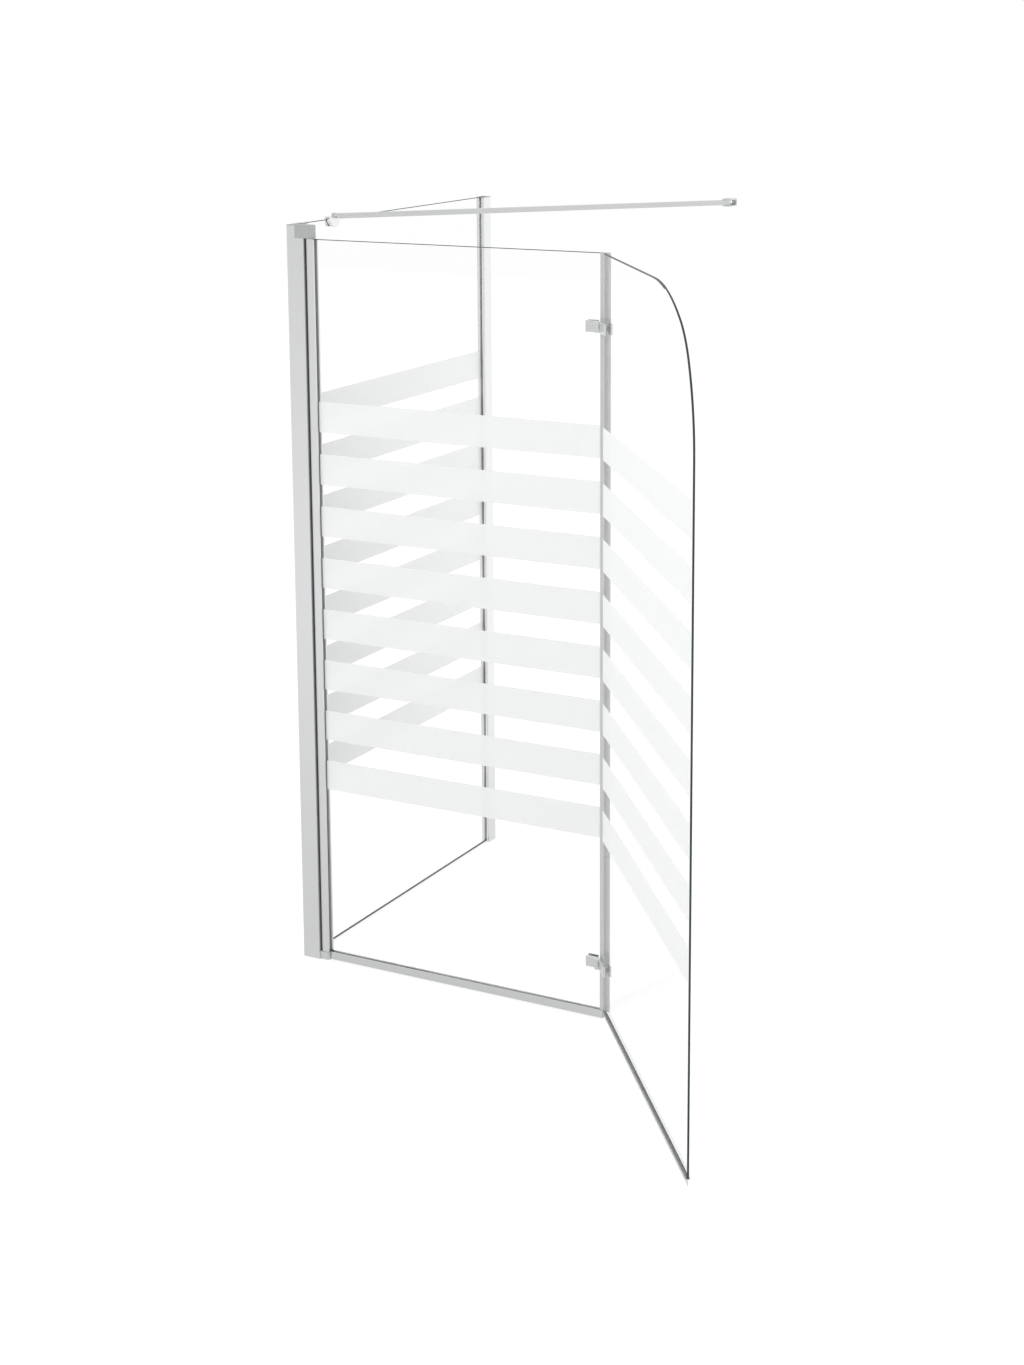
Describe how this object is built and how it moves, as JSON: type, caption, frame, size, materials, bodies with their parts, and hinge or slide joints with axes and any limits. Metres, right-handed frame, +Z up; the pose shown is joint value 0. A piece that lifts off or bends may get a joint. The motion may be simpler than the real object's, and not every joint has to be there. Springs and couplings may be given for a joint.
{
  "type": "folding bath shower screen",
  "caption": "Bath shower screen: fixed side pane on a wall channel, pivoting front pane, folding outer pane on glass hinges, frosted bands and a support bar to the wall.",
  "frame": {"origin": "on the wall plane, at the foot of the wall channel, in the middle of the side pane", "axes": "+X along the front of the bath towards the fold pane, +Y into the wall, +Z up"},
  "size_m": [0.9502, 1.1368, 1.3126],
  "materials": {
    "profile": "bright anodised extrusion",
    "cap_plastic": "silver-grey moulding",
    "bright_metal": "bright plated zinc",
    "bar_metal": "satin silver",
    "steel": "stainless",
    "glass": "clear toughened safety glass",
    "frosting": "frosted white band",
    "gasket": "dark glazing gasket",
    "clear_seal": "clear flexible seal",
    "edge_seal": "silver-grey edge profile",
    "nylon": "white nylon"
  },
  "bodies": {
    "fixed_side": {"wall_channel": "profile", "wall_channel_cap": "cap_plastic", "wall_channel_gaskets": "gasket", "side_glass": "glass", "side_bands": "frosting", "side_setting_blocks": "gasket", "corner_profile": "profile", "corner_cap": "cap_plastic", "corner_gaskets": "gasket", "pivot_post": "profile", "post_seal": "gasket", "post_screws": "steel", "pivot_cap": "cap_plastic", "pivot_foot": "cap_plastic", "upper_pivot_pin": "steel", "lower_pivot_pin": "steel", "clamp_inner_jaw": "bright_metal", "clamp_outer_jaw": "bright_metal", "clamp_pads": "gasket", "clamp_screw": "steel", "support_bar": "bar_metal", "bar_clamp_end": "bar_metal", "bar_wall_end": "bar_metal", "bar_pins": "steel", "bar_wall_bracket": "bar_metal"},
    "front_panel": {"pivot_profile": "profile", "pivot_bushes": "nylon", "pivot_gaskets": "gasket", "front_glass": "glass", "front_bands": "frosting", "bottom_rail": "profile", "rail_liner": "clear_seal", "rail_sweep": "clear_seal", "rail_end_caps": "cap_plastic", "edge_profile": "edge_seal", "upper_hinge_front_leaf": "bright_metal", "lower_hinge_front_leaf": "bright_metal", "upper_hinge_front_back_plate": "bright_metal", "lower_hinge_front_back_plate": "bright_metal", "front_hinge_pads": "clear_seal", "front_hinge_screws": "steel"},
    "fold_panel": {"fold_glass": "glass", "fold_bands": "frosting", "fold_drip_seal": "clear_seal", "upper_hinge_fold_leaf": "bright_metal", "lower_hinge_fold_leaf": "bright_metal", "upper_hinge_fold_back_plate": "bright_metal", "lower_hinge_fold_back_plate": "bright_metal", "fold_hinge_pads": "clear_seal", "fold_hinge_screws": "steel", "upper_hinge_pin": "steel", "lower_hinge_pin": "steel"}
  },
  "joints": [
    {"name": "front_swing", "type": "hinge", "parent": "fixed_side", "child": "front_panel", "pos_m": [0.0327, -0.67, 0.65], "axis": [0, 0, 1], "range_deg": [-90, 35]},
    {"name": "fold_swing", "type": "hinge", "parent": "front_panel", "child": "fold_panel", "pos_m": [0.5717, -0.6796, 0.65], "axis": [0, 0, 1], "range_deg": [-123, 52]}
  ]
}
